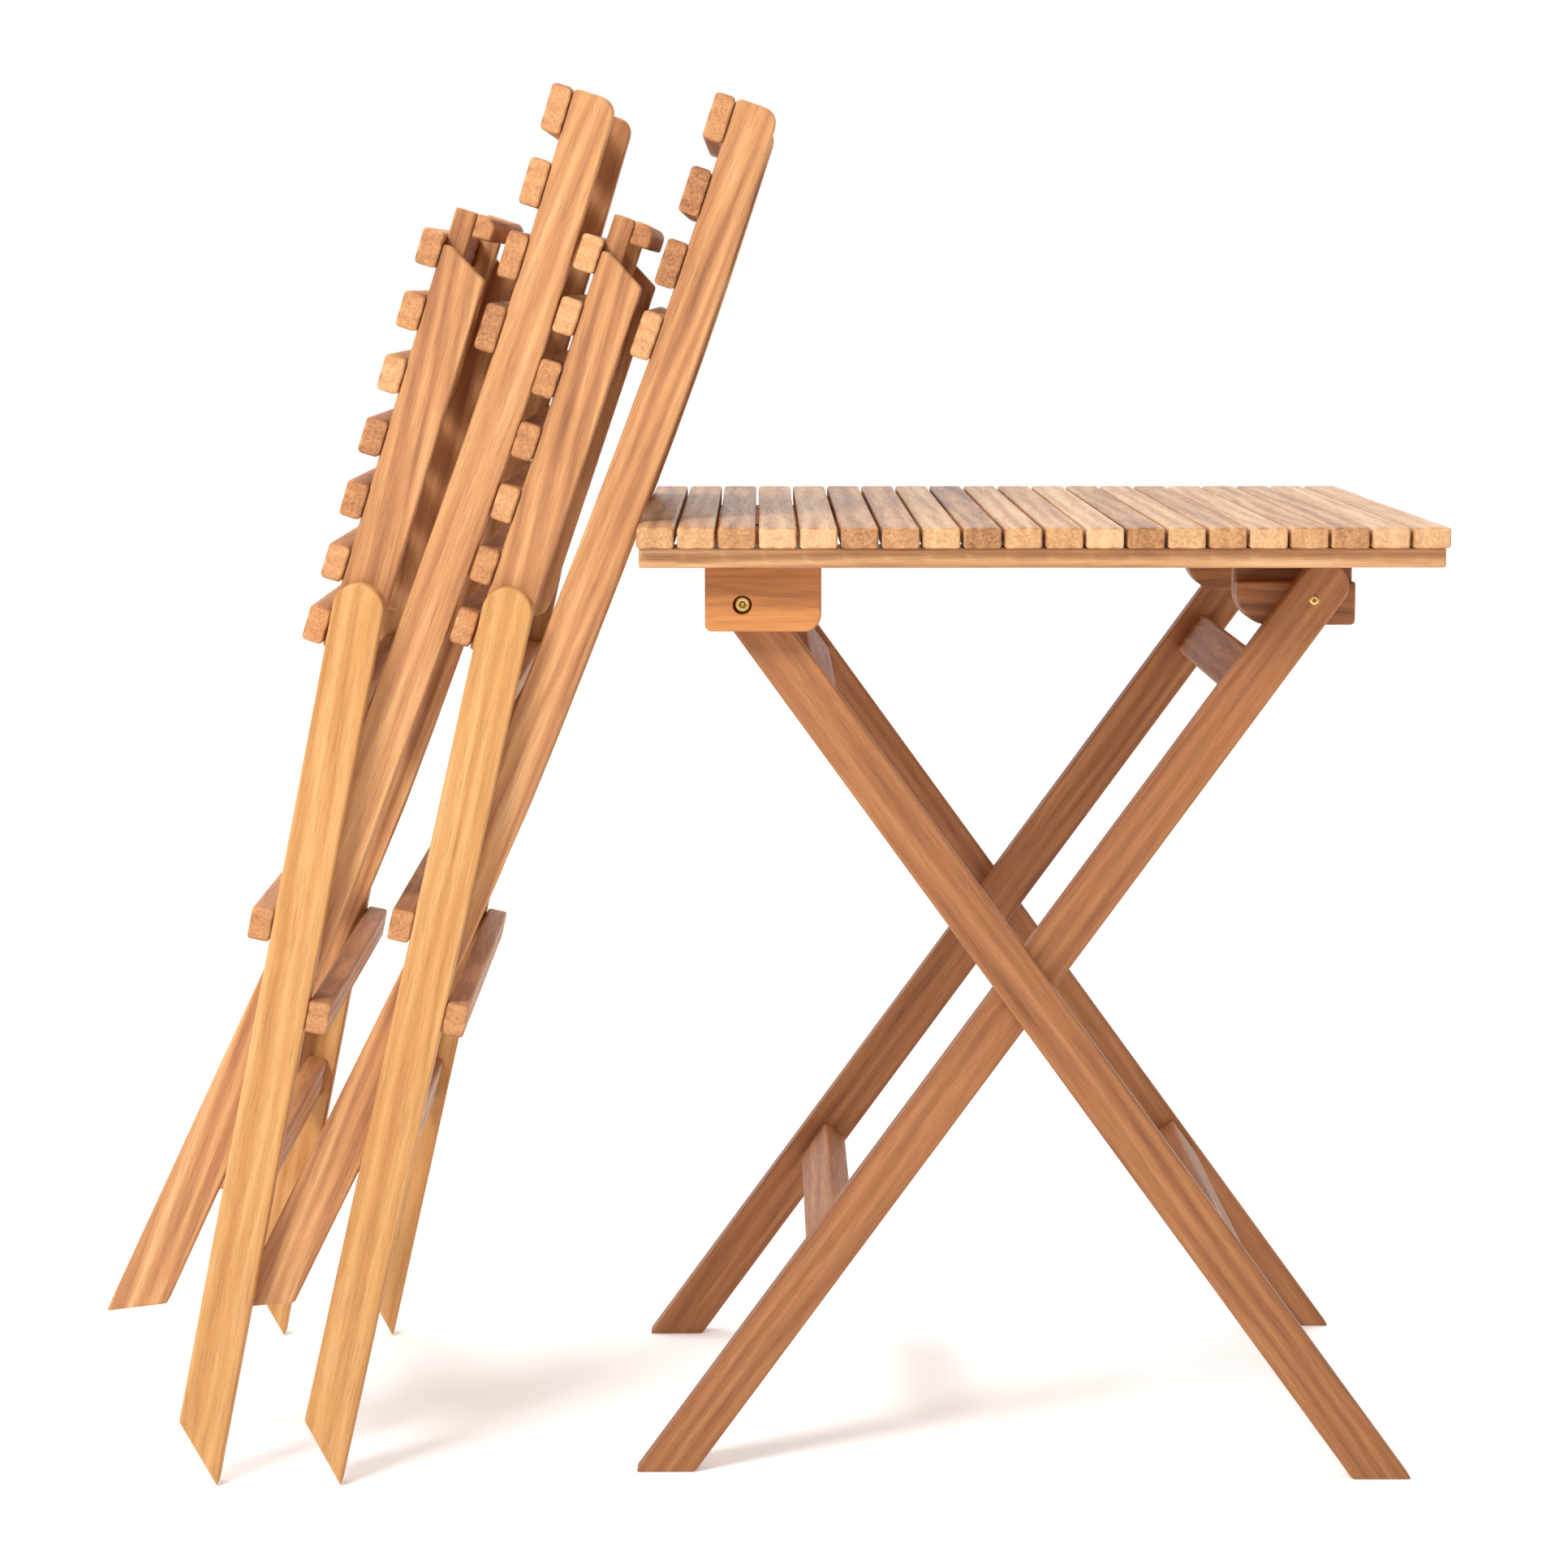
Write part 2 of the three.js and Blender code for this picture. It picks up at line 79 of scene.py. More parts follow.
# %% [markdown]
# ## Reading a board's outline
# Every board of the set is flat sawn: seen from the front it is one outline, and it has the same
# outline all the way through its thickness. So the outline is all that a board needs from the
# frame. Nearly all of them bulge outwards everywhere, so a stretched rubber band round the corners
# gives them. Only the curved posts need their two edges sorted one at a time.

# %% Outlines from the frame
def corners(node, low=-9.0, high=9.0):
    """The node's points as an array, those whose y is between low and high."""
    mesh = frame["nodes"][node].data
    flat = np.empty(len(mesh.vertices) * 3, np.float32)
    mesh.vertices.foreach_get("co", flat)
    point = flat.reshape(-1, 3).astype(float)
    return point[(point[:, 1] > low) & (point[:, 1] < high)]


def counter_clockwise(outline):
    """The outline in the order that turns left: then half the sum of x dz - z dx is positive."""
    x, z = outline.T
    area = np.sum(x * np.roll(z, -1) - z * np.roll(x, -1))
    return outline if area > 0 else outline[::-1]


def bulging_outline(point):
    """The corners of the band stretched round the points, as x and z."""
    flat = np.unique(point[:, [0, 2]].round(5), axis=0)
    band = counter_clockwise(flat[convex_hull_2d([tuple(p) for p in flat])])
    return band[np.hypot(*(band - np.roll(band, 1, 0)).T) > 0.0002]


def curved_outline(point, pivot, hole=0.009):
    """A post's outline: points on one side of a smooth middle line going up, the others coming down."""
    flat = np.unique(point[:, [0, 2]].round(5), axis=0)
    flat = flat[np.hypot(*(flat - pivot).T) > hole]
    centre = flat.mean(0)
    long = np.linalg.svd(flat - centre)[2][0]
    along, across = (flat - centre) @ long, (flat - centre) @ np.array([-long[1], long[0]])
    upper = across > np.polyval(np.polyfit(along, across, 4), along)
    up = flat[upper][np.argsort(along[upper])]
    down = flat[~upper][np.argsort(-along[~upper])]
    return counter_clockwise(np.vstack([up, down]))


print("a back slat's outline has", len(bulging_outline(corners("inner_chair_back_slat_1"))), "corners")

# %% [markdown]
# ## A board with eased edges
# A router or a sander takes the sharp corner off every edge of outdoor furniture, so that it is kind
# to hands and holds its oil. Two things do this here. The outline's own corners are replaced by
# small curves, and towards each face the outline draws in along a quarter circle. The board is then
# one surface of two parameters: the way round the outline, and the way through the thickness.

# %% Soft corners
def softened(outline, radius, steps=4):
    """Each corner becomes a curve (1-t)^2 A + 2 t (1-t) B + t^2 C, where B is the corner and A and C
    lie on its two edges, no further off than the radius or 0.45 of the edge."""
    before, after = np.roll(outline, 1, 0) - outline, np.roll(outline, -1, 0) - outline
    reach = [np.minimum(radius / np.maximum(np.hypot(*edge.T), 1e-9), 0.45)[:, None] * edge
             for edge in (before, after)]
    t = np.linspace(0, 1, steps)[None, :, None]
    a, b, c = (outline + reach[0])[:, None], outline[:, None], (outline + reach[1])[:, None]
    return ((1 - t) ** 2 * a + 2 * t * (1 - t) * b + t ** 2 * c).reshape(-1, 2)


def outward(outline):
    """Unit vectors that point out of the outline: the two edge normals at a point, added and scaled so
    that a step along them moves both edges by the same amount."""
    edge = np.roll(outline, -1, 0) - outline
    edge /= np.maximum(np.hypot(*edge.T), 1e-12)[:, None]
    normal = np.stack([edge[:, 1], -edge[:, 0]], 1)
    last = np.roll(normal, 1, 0)
    return (normal + last) / np.maximum(1 + np.sum(normal * last, 1), 0.1)[:, None]


plank = np.array([[0.0, 0.0], [0.03, 0.0], [0.03, 0.02], [0.0, 0.02]])
print("four corners soften to", len(softened(plank, 0.002)), "points")

# %% [markdown]
# ## A mesh that knows its grain
# Wood looks wrong as soon as its grain runs the wrong way, and a pattern in space can't know which way
# a leaning board was sawn. So each point carries what the pattern needs: its place measured along and
# across its own board, how far the surface there is cut across the grain, and the board's tone. Three
# attributes hold them, and they turn with the board when it moves.

# %% Pieces with a grain
def ring_faces(rings, count):
    """Four-sided faces between neighbouring rings of points, facing out for rings that run along +y."""
    j, i = np.meshgrid(np.arange(rings - 1), np.arange(count), indexing="ij")
    k = (i + 1) % count
    this, other = j * count, (j + 1) * count
    return np.stack([this + i, other + i, other + k, this + k], -1).reshape(-1, 4)


dice = np.random.default_rng(20240611)
made = []


def finish_piece(name, point, faces, node, material, grain, end, tone):
    """Points and faces become a mesh that carries its own grain place, end-grain share and tone."""
    mesh = bpy.data.meshes.new(name)
    mesh.from_pydata(point.tolist(), [], faces)
    for label, kind, field, value in (
            ("grain", "FLOAT_VECTOR", "vector", grain),
            ("end", "FLOAT", "value", end),
            ("tone", "FLOAT", "value", np.full(len(point), tone))):
        attribute = mesh.attributes.new(label, kind, "POINT")
        attribute.data.foreach_set(field, np.ascontiguousarray(value, np.float32).ravel())
    mesh.shade_smooth()
    mesh.materials.append(material)
    piece = bpy.data.objects.new(name, mesh)
    bpy.context.collection.objects.link(piece)
    flat = piece.modifiers.new("flat faces stay flat", "WEIGHTED_NORMAL")
    flat.keep_sharp = True
    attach(piece, body_of_node[node])
    made.append(piece)
    return piece


print("two rings of three points share", len(ring_faces(2, 3)), "faces")

# %% [markdown]
# ## One board
# The outline and its thickness now become a piece. The rings near each face are drawn in along a
# quarter circle, and two flat caps close it. The grain runs along the outline's longest direction, or
# straight through when the board is longer that way, as slats and bars are.

# %% Eased boards
quarter_turn = np.radians([0.0, 25.0, 55.0, 90.0])
# each board takes its own stretch of the pattern, up to this many metres away
farthest_stretch = 4.0


def board(name, outline, near, far, node, material, tone, ease=0.0022, corner=0.0022):
    """The softened outline carried from y = near to y = far. At an angle a from 0 to 90 degrees it is
    drawn in by ease (1 - sin a) at ease (1 - cos a) from the face."""
    drawn_in = ease * (1 - np.sin(quarter_turn))
    from_face = ease * (1 - np.cos(quarter_turn))
    inset = np.concatenate([drawn_in, drawn_in[::-1]])
    depth = np.concatenate([near + from_face, far - from_face[::-1]])
    mitre = outward(outline)
    flat = np.stack([softened(outline - d * mitre, max(corner - 0.8 * d, 0.0003)) for d in inset])
    out = outward(softened(outline, corner))
    y = np.broadcast_to(depth[:, None], flat.shape[:2])
    point = np.stack([flat[..., 0], y, flat[..., 1]], -1)
    rings, count = flat.shape[:2]
    faces = ring_faces(rings, count).tolist()
    faces += [list(range(count)), list(range(rings * count - 1, (rings - 1) * count - 1, -1))]

    centre = outline.mean(0)
    long = np.linalg.svd(outline - centre)[2][0]
    a, b = (flat - centre) @ long, (flat - centre) @ np.array([-long[1], long[0]])
    runs_through = far - near > np.ptp((outline - centre) @ long)
    shift = dice.uniform(-farthest_stretch, farthest_stretch, 3)
    if runs_through:
        grain = np.stack([y, a, b], -1) + shift
        end = np.zeros((rings, count))
        end[[0, -1]] = 1.0
    else:
        grain = np.stack([a, b, y - near], -1) + shift
        end = np.clip(np.abs(out @ long) * 4 - 3, 0, 1)[None] * (inset < ease * 0.5)[:, None]
    return finish_piece(name, point.reshape(-1, 3), faces, node, material,
                        grain.reshape(-1, 3), end.ravel(), tone)


print("an edge is eased in", len(quarter_turn) - 1, "steps")

# %% [markdown]
# ## Colour and nodes
# Colours are picked as the eye sees them, on a screen, and Blender works in light, so one function
# turns a screen colour into its linear value. One more adds a node with its settings and its links,
# which keeps each material readable from top to bottom.

# %% Helpers for materials
def linear(screen):
    """A screen colour as light: c / 12.92 when dark, else ((c + 0.055) / 1.055) to the power 2.4."""
    value = [int(screen[i:i + 2], 16) / 255 for i in (1, 3, 5)]
    return [v / 12.92 if v <= 0.04045 else ((v + 0.055) / 1.055) ** 2.4 for v in value] + [1.0]


def add(tree, kind, settings=None, inputs=None):
    """A node of a kind, with its settings, and its inputs set to values or linked to other outputs."""
    node = tree.nodes.new(kind)
    for key, value in (settings or {}).items():
        setattr(node, key, value)
    for key, value in (inputs or {}).items():
        if isinstance(value, bpy.types.NodeSocket):
            tree.links.new(value, node.inputs[key])
        else:
            node.inputs[key].default_value = value
    return node


def ramp(tree, factor, stops):
    """A colour ramp through (place, screen colour) stops."""
    node = add(tree, "ShaderNodeValToRGB", inputs={"Fac": factor})
    while len(node.color_ramp.elements) < len(stops):
        node.color_ramp.elements.new(0.5)
    for element, (place, colour) in zip(node.color_ramp.elements, stops):
        element.position = place
        element.color = linear(colour)
    return node.outputs["Color"]


print("mid grey on a screen is", round(linear("#808080")[0], 3), "of full light")

# %% [markdown]
# ## Oiled acacia
# The boards are a dense tropical hardwood, planed, sanded and oiled. It reads as wood because of
# three things at three sizes: broad bands of darker and lighter growth a centimetre or so wide, thin
# pore lines about a millimetre wide and a few centimetres long, and a step in tone from one board to
# the next. Where a board is cut across, the pores stand on end and the face is a little paler and
# rougher. A pattern in space does all of it, if it is stretched along the board.

# %% Wood material
def oiled_acacia(name, deep, body, light, pale, polish=0.5):
    """Noise stretched along the grain, coloured by a ramp, with fine pores, end grain and a tone."""
    material = bpy.data.materials.new(name)
    material.use_nodes = True
    tree = material.node_tree
    tree.nodes.clear()
    grain = add(tree, "ShaderNodeAttribute", {"attribute_name": "grain"}).outputs["Vector"]
    tone = add(tree, "ShaderNodeAttribute", {"attribute_name": "tone"}).outputs["Fac"]
    end = add(tree, "ShaderNodeAttribute", {"attribute_name": "end"}).outputs["Fac"]

    # bands of growth: about 12 mm across and 250 mm long
    wide = add(tree, "ShaderNodeMapping", inputs={"Vector": grain, "Scale": (4, 80, 80)})
    bands = add(tree, "ShaderNodeTexNoise", inputs={
        "Vector": wide.outputs[0], "Scale": 1.0, "Detail": 8.0, "Roughness": 0.68,
        "Distortion": 0.5}).outputs[0]
    # cathedral lines: waves about 14 mm apart, bent by slow noise
    lines_at = add(tree, "ShaderNodeMapping", inputs={"Vector": grain, "Scale": (2.2, 22, 22)})
    lines = add(tree, "ShaderNodeTexWave", {"wave_type": "BANDS", "bands_direction": "Y"}, {
        "Vector": lines_at.outputs[0], "Scale": 1.0, "Distortion": 9.0, "Detail": 3.0,
        "Detail Scale": 0.8, "Detail Roughness": 0.6}).outputs[1]
    # pores: about 1.2 mm across and 30 mm long
    thin = add(tree, "ShaderNodeMapping", inputs={"Vector": grain, "Scale": (33, 800, 800)})
    pores = add(tree, "ShaderNodeTexNoise", inputs={
        "Vector": thin.outputs[0], "Scale": 1.0, "Detail": 3.0, "Roughness": 0.65}).outputs[0]

    # the lines count for about a fifth of the bands, and the board's tone moves all of it
    weighted = {"operation": "MULTIPLY_ADD"}
    mixed = add(tree, "ShaderNodeMath", weighted, {0: lines, 1: 0.22, 2: bands}).outputs[0]
    shifted = add(tree, "ShaderNodeMath", weighted, {0: tone, 1: 0.36, 2: mixed}).outputs[0]
    place = add(tree, "ShaderNodeMapRange", inputs={
        "Value": shifted, "From Min": 0.38, "From Max": 1.12}).outputs[0]
    colour = ramp(tree, place, [(0.0, deep), (0.34, body), (0.66, light), (1.0, pale)])

    dark = add(tree, "ShaderNodeMapRange", inputs={
        "Value": pores, "From Min": 0.30, "From Max": 0.50, "To Min": 0.74, "To Max": 1.0}).outputs[0]
    pored = add(tree, "ShaderNodeMix", {"data_type": "RGBA", "blend_type": "MULTIPLY"}, {"Factor": 1.0})
    tree.links.new(colour, pored.inputs[6])
    tree.links.new(dark, pored.inputs[7])

    # end grain: specks about 2 mm across, over 0.7 of the colour
    speck = add(tree, "ShaderNodeTexNoise", inputs={
        "Vector": grain, "Scale": 420.0, "Detail": 3.0, "Roughness": 0.75}).outputs[0]
    toned = add(tree, "ShaderNodeMath", weighted, {0: tone, 1: 0.5, 2: speck}).outputs[0]
    cut = ramp(tree, toned, [(0.42, deep), (0.58, body), (0.78, light), (0.98, pale)])
    ended = add(tree, "ShaderNodeMix", {"data_type": "RGBA"})
    share = add(tree, "ShaderNodeMath", {"operation": "MULTIPLY"}, {0: end, 1: 0.7}).outputs[0]
    tree.links.new(share, ended.inputs["Factor"])
    tree.links.new(pored.outputs[2], ended.inputs[6])
    tree.links.new(cut, ended.inputs[7])

    # the pores are rougher than the wood between them, and 0.4 mm deep
    rough = add(tree, "ShaderNodeMapRange", inputs={
        "Value": pores, "From Min": 0.3, "From Max": 0.7,
        "To Min": polish + 0.12, "To Max": polish - 0.05}).outputs[0]
    bump = add(tree, "ShaderNodeBump", inputs={
        "Strength": 0.35, "Distance": 0.0004, "Height": pores}).outputs[0]
    shader = add(tree, "ShaderNodeBsdfPrincipled", inputs={
        "Base Color": ended.outputs[2], "Roughness": rough, "Normal": bump, "IOR": 1.45,
        "Specular IOR Level": 0.45})
    add(tree, "ShaderNodeOutputMaterial", inputs={"Surface": shader.outputs[0]})
    return material


top_wood = oiled_acacia("oiled acacia, table slats",
                        "#74492c", "#a8744a", "#c89666", "#dcb58a", 0.36)
# the table legs' colours are darker than the chair legs' partly from the wood's own tone and partly from
# painted shade: the shade that the table top casts on the legs and blocks under it is painted into this
# palette
leg_wood_with_painted_shade = oiled_acacia("oiled acacia, table legs, with painted shade",
                        "#683c20", "#925a33", "#a66c40", "#bb8353", 0.5)
block_wood = oiled_acacia("oiled acacia, blocks",
                          "#5f3318", "#ad6c39", "#c68247", "#d89b60", 0.5)
chair_wood = oiled_acacia("oiled acacia, chair legs",
                          "#925d30", "#b67d44", "#c79054", "#d4a36a", 0.5)
back_wood = oiled_acacia("oiled acacia, chair slats and posts",
                         "#744729", "#a97046", "#c68d5a", "#dcab78", 0.5)
print("five cuts of one wood, such as", top_wood.name)

# %% [markdown]
# ## The table top
# Twenty narrow slats lie side by side with a gap for rain, on a rail under each end. The frame holds
# the top as one solid, because nothing in it moves, but a real one is separate boards, each from a
# different plank. So each slat is made on its own, with its own tone.

# %% Slats, rails and catch blocks
MM = 0.001
low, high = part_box("table_top")
slat_count, slat_width, slat_thick = 20, 27.8 * MM, 15.5 * MM
rail_height, rail_inset, rail_width, rail_setback = 15 * MM, 10 * MM, 49 * MM, 1.5 * MM
shelf_z, shelf_depth = 692 * MM, 20 * MM
seam = 0.2 * MM
top_z = high.z
pitch = (high.x - low.x - slat_width) / (slat_count - 1)


def oblong(left, right, bottom, top):
    """The four corners of an upright oblong, turning left."""
    return np.array([[left, bottom], [right, bottom], [right, top], [left, top]])


slat_tones = [0.45, 0.55, 0.3, 0.85, 0.8, 0.2, 0.35, 0.7, 0.1, 0.6,
              0.5, 0.9, 0.15, 0.65, 0.4, 0.75, 0.5, 0.3, 0.8, 0.7]
for i, tone in enumerate(slat_tones):
    left = low.x + i * pitch
    shape = oblong(left, left + slat_width, top_z - slat_thick, top_z)
    slat = board(f"table_slat_{i + 1:02d}", shape, low.y, high.y, "table_top", top_wood, tone,
                 ease=0.0018, corner=0.0026)
    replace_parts(slat, "table_top")

under = top_z - slat_thick
for side, label in ((-1, "front"), (1, "back")):
    outer = side * (high.y - rail_inset)
    inner = outer - side * rail_width
    shape = oblong(low.x + rail_setback, high.x - rail_setback, under - rail_height, under - seam)
    rail = board(f"table_rail_{label}", shape, *sorted((outer, inner)), "table_top", top_wood, 0.5)
    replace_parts(rail, "table_top")

catch = corners("table_top")
catch = catch[catch[:, 2] < under - rail_height - 1 * MM]
for side, label in ((-1, "front"), (1, "back")):
    mine = catch[catch[:, 1] * side > 0]
    outer = side * np.abs(mine[:, 1]).max()
    inner = side * np.abs(mine[:, 1]).min()
    shelf = outer - side * shelf_depth
    against_slats = [[mine[:, 0].min(), 0, under], [mine[:, 0].max(), 0, under]]
    full = bulging_outline(np.vstack([mine, against_slats]))
    short = full.copy()
    short[:, 1] = np.minimum(short[:, 1], shelf_z)
    full[:, 1] = np.minimum(full[:, 1], under - seam)
    block = board(f"catch_block_{label}", short, *sorted((outer, shelf)), "table_top", leg_wood_with_painted_shade, 0.3)
    cleat = board(f"catch_cleat_{label}", full, *sorted((shelf, inner)), "table_top", leg_wood_with_painted_shade, 0.2)
    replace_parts(block, "table_top")
    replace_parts(cleat, "table_top")
print(len(made), "boards in the top")

# %% [markdown]
# ## Legs, bars and chair boards
# The rest of the wood is one board for each node of the frame. A leg or a rail is read from the layer
# it fills, without the hidden dowel that the frame's solid carries on its inner face. Bars and slats
# run right across, so their ends are cut across the grain.

# %% One board for each node
def layer(node, thick):
    """A side member's y span: its box, cut back to its thickness on the inner side."""
    a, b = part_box(node)
    return (a.y, a.y + thick) if node.endswith(("left", "front")) else (b.y - thick, b.y)


chair_leg_thick, table_leg_thick, seat_rail_thick = 21.5 * MM, 22.0 * MM, 21.7 * MM
chair_tone = {"leg": 0.75, "post": 0.55, "stop": 0.35, "seat_bar": 0.3, "foot_bar": 0.3,
              "catch": 0.3, "hook": 0.35, "seat_rail": 0.45}
for node in sorted(frame["nodes"]):
    if node == "table_top" or node.startswith("pivot_"):
        continue
    chair = "chair" in node
    a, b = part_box(node)
    near, far = a.y, b.y
    part = node.split("chair_")[-1]
    usual_tone = next((t for key, t in chair_tone.items() if part.startswith(key)), 0.4)
    tone = usual_tone + dice.uniform(-0.12, 0.12)
    if "slat" in node:
        tone = dice.uniform(0.1, 0.8)
    material = back_wood if chair else leg_wood_with_painted_shade
    if "post" in node:
        hinge = joints[node.split("_post")[0] + "_back_hinge"]["pos_m"]
        shape = curved_outline(corners(node), np.array([hinge[0], hinge[2]]))
    elif "seat_rail" in node:
        # the arm lies on the rail's inner side, so the two are told apart by y
        near, far = layer(node, seat_rail_thick)
        if node.endswith("left"):
            arm_near, arm_far = far + 0.1 * MM, b.y
            rail_points = corners(node, near - MM, far - 2 * MM)
            arm_points = corners(node, arm_near + 2 * MM, arm_far + MM)
        else:
            arm_near, arm_far = a.y, near - 0.1 * MM
            rail_points = corners(node, near + 2 * MM, far + MM)
            arm_points = corners(node, arm_near - MM, arm_far - 2 * MM)
        shape = bulging_outline(rail_points)
        arm = board(node.replace("seat_rail", "seat_arm"), bulging_outline(arm_points),
                    arm_near, arm_far, node, material, tone)
        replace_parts(arm, node)
    else:
        if "_leg_" in node and "bar" not in node:
            near, far = layer(node, chair_leg_thick if chair else table_leg_thick)
        shape = bulging_outline(corners(node))
        if chair and "_leg_" in node:
            material = chair_wood
    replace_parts(board(node + "_board", shape, near, far, node, material, tone), node)
print(len(made), "boards")

# %% [markdown]
# ## Pivot blocks
# The block that the outer leg turns in has a round counterbore, so that the bolt's head sits below the
# face. Seen from the bolt, the block's whole outline can be reached by straight lines, so the block
# is a surface of an angle and a step: from the middle of the counterbore's floor, up its wall, across
# the face to the outline, round the eased edge and back to the middle behind.

# %% Counterbored blocks
def reach_to(outline, centre, angle):
    """How far a straight line from the centre at each angle goes before it meets the outline: the
    smallest positive r where centre + r d lies on an edge a + s e, found for all edges at once."""
    d = np.stack([np.cos(angle), np.sin(angle)], 1)[:, None]
    a, e = outline[None] - centre, (np.roll(outline, -1, 0) - outline)[None]
    cross = d[..., 0] * e[..., 1] - d[..., 1] * e[..., 0]
    cross = np.where(np.abs(cross) < 1e-12, 1e-12, cross)
    r = (a[..., 0] * e[..., 1] - a[..., 1] * e[..., 0]) / cross
    s = (a[..., 0] * d[..., 1] - a[..., 1] * d[..., 0]) / cross
    return np.where((r > 0) & (s >= -1e-9) & (s <= 1 + 1e-9), r, np.inf).min(1)


hinge = joints["table_fold"]["pos_m"]
bolt_at = np.array([hinge[0], hinge[2]])
bore, bore_depth, ease = 7.05 * MM, 11 * MM, 2.2 * MM
for side, label in ((-1, "front"), (1, "back")):
    node = f"pivot_block_{label}"
    a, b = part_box(node)
    face, back = (a.y, b.y) if side < 0 else (b.y, a.y)
    outline = softened(bulging_outline(corners(node)), 2.2 * MM)
    corner_angle = np.arctan2(*(outline - bolt_at).T[::-1])
    angle = np.unique(np.concatenate([corner_angle, np.linspace(-np.pi, np.pi, 97)[:-1]]).round(6))
    edge = reach_to(outline, bolt_at, angle)
    into = -side
    bottom = face + into * bore_depth
    steps = [(0.0, bottom), (0.5 * bore, bottom), (bore, bottom), (bore, face + into * 1.0 * MM),
             (bore + 0.3 * MM, face + into * 0.3 * MM), (bore + 1.0 * MM, face)]
    drawn_in = [ease * (1 - math.sin(turn)) for turn in quarter_turn]
    from_face = [ease * (1 - math.cos(turn)) for turn in quarter_turn]
    radius = [np.full_like(angle, r) for r, _ in steps]
    depth = [y for _, y in steps]
    radius += [edge - inward for inward in drawn_in + drawn_in[::-1]]
    depth += [face + into * step for step in from_face]
    depth += [back - into * step for step in from_face[::-1]]
    radius.append(np.zeros_like(angle))
    depth.append(back)
    radius, depth = np.array(radius), np.array(depth)
    point = np.stack([bolt_at[0] + radius * np.cos(angle), np.broadcast_to(depth[:, None], radius.shape),
                      bolt_at[1] + radius * np.sin(angle)], -1)
    rings, count = radius.shape
    faces = ring_faces(rings, count)
    faces = faces if side < 0 else faces[:, ::-1]
    grain = point - [bolt_at[0], face, bolt_at[1]] + dice.uniform(-farthest_stretch, farthest_stretch, 3)
    # the two rings on the rim show end grain where they face along x
    rim = len(steps) + len(quarter_turn)
    end = np.zeros_like(radius)
    end[rim - 1:rim + 1] = np.clip(np.abs(np.cos(angle)) * 4 - 3, 0, 1)
    block = finish_piece(f"pivot_block_{label}_board", point.reshape(-1, 3), faces.tolist(), node,
                         block_wood, grain.reshape(-1, 3), end.ravel(), 0.45)
    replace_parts(block, node)
    print(node, "bore", round(bore * 2000, 1), "mm")

# %% [markdown]
# ## Yellow plated steel
# The bolts are steel with a yellow zinc plating: a clear metal shine under a thin film that drifts
# from straw to a faint green, and is dulled where it has been handled.

# %% Plating
def yellow_zinc(name):
    """A metal whose colour and roughness wander over a few millimetres."""
    material = bpy.data.materials.new(name)
    material.use_nodes = True
    tree = material.node_tree
    tree.nodes.clear()
    place = add(tree, "ShaderNodeTexCoord").outputs["Object"]
    # the film drifts over about 4 mm
    drift = add(tree, "ShaderNodeTexNoise", inputs={
        "Vector": place, "Scale": 260.0, "Detail": 3.0}).outputs[0]
    film = ramp(tree, drift, [(0.3, "#b98f3e"), (0.5, "#d9bd74"), (0.7, "#c8b48a")])
    rough = add(tree, "ShaderNodeMapRange", inputs={
        "Value": drift, "From Min": 0.3, "From Max": 0.7, "To Min": 0.22, "To Max": 0.4}).outputs[0]
    shader = add(tree, "ShaderNodeBsdfPrincipled", inputs={
        "Base Color": film, "Roughness": rough, "Metallic": 1.0})
    add(tree, "ShaderNodeOutputMaterial", inputs={"Surface": shader.outputs[0]})
    return material


plating = yellow_zinc("yellow zinc plated steel")
print(plating.name)

# %% [markdown]
# ## Bolts and screws
# Each pivot block hides a bolt whose head lies at the bottom of the counterbore, and a small screw
# stands in the top of each inner leg. A head is turned on a lathe, so it is a profile carried round
# the bolt's axis. Its six-sided key socket is the same surface: only its first rings aren't round.

# %% Turned heads
def turned_head(name, node, centre, face, side, profile, key, key_depth):
    """A head turned about the y axis, as (radius, depth below the face) steps, with a six-sided key
    socket: its wall stands at key / cos(angle to the middle of the nearest flat)."""
    angle = np.linspace(-np.pi, np.pi, 73)[:-1]
    wall = key / np.cos((angle % (np.pi / 3)) - np.pi / 6)
    radius = [0 * angle, wall, wall, wall + 0.2 * MM] + [np.full_like(angle, r) for r, _ in profile]
    depth = [key_depth, key_depth, 0.25 * MM, 0.0] + [d for _, d in profile]
    radius.append(0 * angle)
    depth.append(profile[-1][1])
    radius, depth = np.array(radius), np.array(depth)
    y = np.broadcast_to((face - side * depth)[:, None], radius.shape)
    point = np.stack([centre[0] + radius * np.cos(angle), y, centre[1] + radius * np.sin(angle)], -1)
    faces = ring_faces(*radius.shape)
    faces = faces if side < 0 else faces[:, ::-1]
    piece = finish_piece(name, point.reshape(-1, 3), faces.tolist(), node, plating, point.reshape(-1, 3),
                         np.zeros(radius.size), 0.5)
    return piece


# each step of a profile is a radius and how far it lies below the face
bolt_profile = [(4.7 * MM, 0.0), (5.4 * MM, 0.15 * MM), (5.85 * MM, 0.7 * MM), (5.85 * MM, 5 * MM),
                (3 * MM, 5 * MM), (3 * MM, 35.8 * MM)]
screw_profile = [(2.4 * MM, 0.0), (3.6 * MM, 0.5 * MM), (4.1 * MM, 1.3 * MM), (2.0 * MM, 1.4 * MM),
                 (2.0 * MM, 12 * MM)]
bolt_key, bolt_key_depth = 2.5 * MM, 3 * MM
screw_key, screw_key_depth, screw_stands_out = 1.3 * MM, 0.9 * MM, 0.6 * MM
scissor = joints["table_scissor"]["pos_m"]
leg_top = np.array([2 * scissor[0] - bolt_at[0], bolt_at[1]])
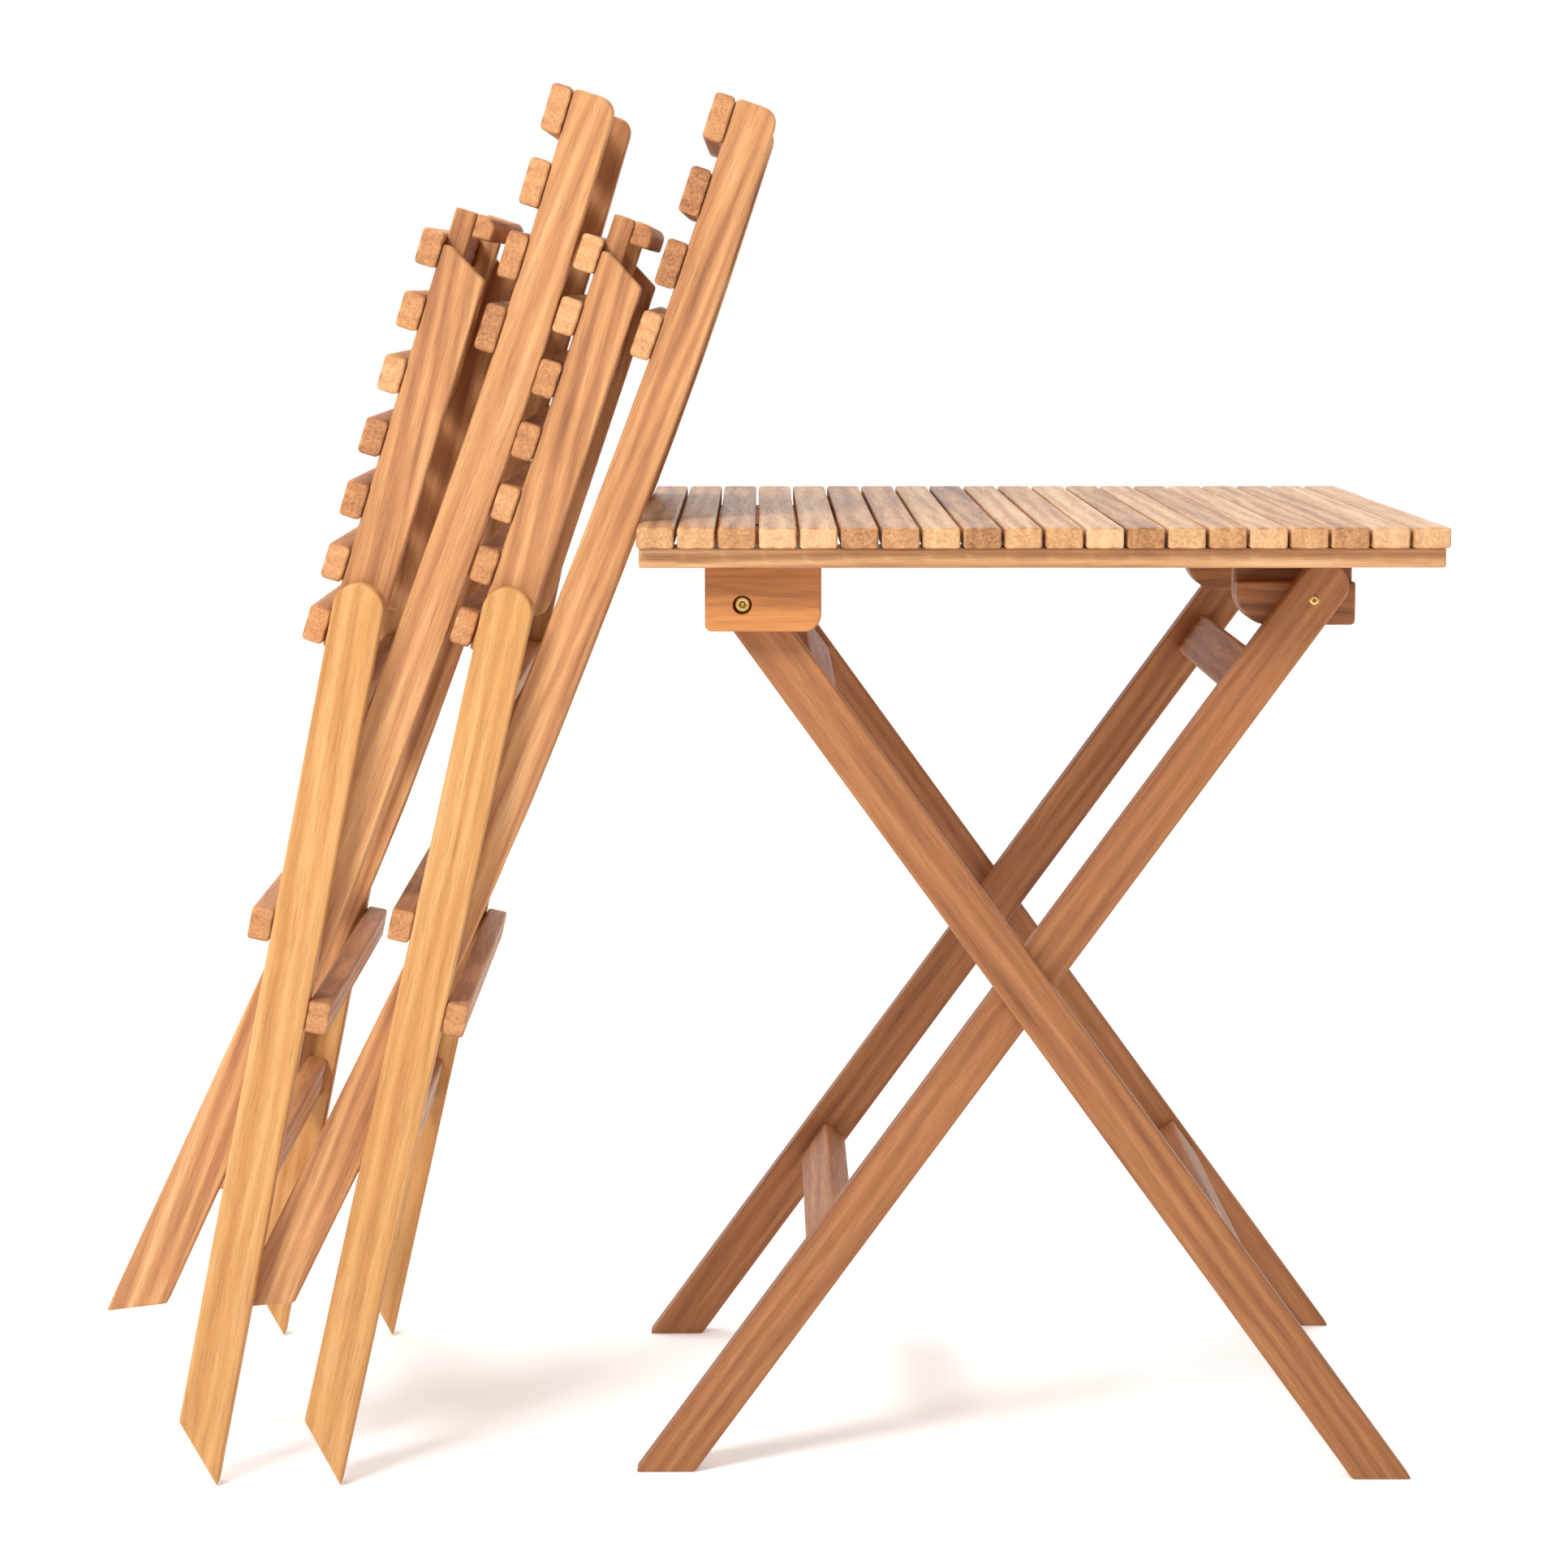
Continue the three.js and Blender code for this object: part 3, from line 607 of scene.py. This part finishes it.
for side, label in ((-1, "front"), (1, "back")):
    bolt, leg = f"pivot_bolt_{label}", f"inner_leg_{label}"
    a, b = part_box(bolt)
    face = a.y if side < 0 else b.y
    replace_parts(turned_head(bolt + "_head", bolt, bolt_at, face, side, bolt_profile,
                            bolt_key, bolt_key_depth), bolt)
    a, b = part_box(leg)
    face = (a.y if side < 0 else b.y) + side * screw_stands_out
    turned_head(f"leg_top_screw_{label}", leg, leg_top, face, side, screw_profile,
                screw_key, screw_key_depth)
print("bolts and screws at", bolt_at.round(4), leg_top.round(4))

# %% [markdown]
# ## Floor
# A sheet of plain pale paper that runs out of sight. Paper alone would turn grey in the distance and
# show a horizon, so it also glows a little, and more with distance from the set. Near the feet the
# glow is weak enough for soft shadows to stay.

# %% Paper floor
floor_mesh = bpy.data.meshes.new("floor")
reach = 14.0
sheet = [(-reach, -reach, 0), (reach, -reach, 0), (reach, reach, 0), (-reach, reach, 0)]
floor_mesh.from_pydata(sheet, [], [(0, 1, 2, 3)])
floor = bpy.data.objects.new("floor", floor_mesh)
bpy.context.collection.objects.link(floor)
paper = bpy.data.materials.new("white studio paper")
paper.use_nodes = True
tree = paper.node_tree
surface = tree.nodes["Principled BSDF"]
surface.inputs["Base Color"].default_value = linear("#fbfaf8")
surface.inputs["Roughness"].default_value = 0.9
surface.inputs["Emission Color"].default_value = (1.0, 1.0, 1.0, 1.0)
place = add(tree, "ShaderNodeTexCoord").outputs["Object"]
away = add(tree, "ShaderNodeVectorMath", {"operation": "LENGTH"}, {0: place}).outputs["Value"]
own_glow = add(tree, "ShaderNodeMapRange", inputs={
    "Value": away, "From Min": 0.9, "From Max": 4.0, "To Min": 0.22, "To Max": 0.6}).outputs[0]
tree.links.new(own_glow, surface.inputs["Emission Strength"])
floor_mesh.materials.append(paper)
print("paper", 2 * reach, "m each way")

# %% [markdown]
# ## Sky and panels
# A studio has bright even walls, and lamps in large soft boxes. Here the sky is the walls: white
# behind the set and half as bright behind the viewer, so that the boards keep a lit side and a shaded
# side. A large panel in front and a weaker one above give the faces their light.

# %% Sky and panels
world = bpy.data.worlds.new("studio")
bpy.context.scene.world = world
world.use_nodes = True
tree = world.node_tree
way = add(tree, "ShaderNodeTexCoord").outputs["Generated"]
depthwise = add(tree, "ShaderNodeSeparateXYZ", inputs={"Vector": way}).outputs["Y"]
glow = add(tree, "ShaderNodeMapRange", inputs={
    "Value": depthwise, "From Min": -0.35, "From Max": 0.35, "To Min": 0.5, "To Max": 1.0}).outputs[0]
tree.links.new(glow, tree.nodes["Background"].inputs["Strength"])
tree.nodes["Background"].inputs["Color"].default_value = (1.0, 1.0, 1.0, 1.0)


def panel(name, place, aim, size, power):
    """A square lamp that faces the point it is aimed at."""
    light = bpy.data.lights.new(name, "AREA")
    light.size = size
    light.energy = power
    lamp = bpy.data.objects.new(name, light)
    bpy.context.collection.objects.link(lamp)
    lamp.location = place
    direction = np.array(aim) - np.array(place)
    lamp.rotation_euler = (math.acos(-direction[2] / np.linalg.norm(direction)), 0.0,
                           math.atan2(direction[1], direction[0]) - math.pi / 2)
    return lamp


lamps = [panel("front panel", (-1.7, -2.9, 3.3), (-0.1, -0.1, 0.4), 1.2, 150.0),
         panel("top panel", (-0.6, 0.8, 3.4), (0.1, 0.0, 0.5), 1.8, 30.0)]
bpy.context.scene.view_settings.view_transform = "Standard"
print("lamps of", [lamp.data.energy for lamp in lamps], "watts")

# %% [markdown]
# ## Pieces made
# The boards are meant to fill the same box as the frame that they stand for; this cell only counts them.

# %% Pieces made
print(len(made), "pieces")
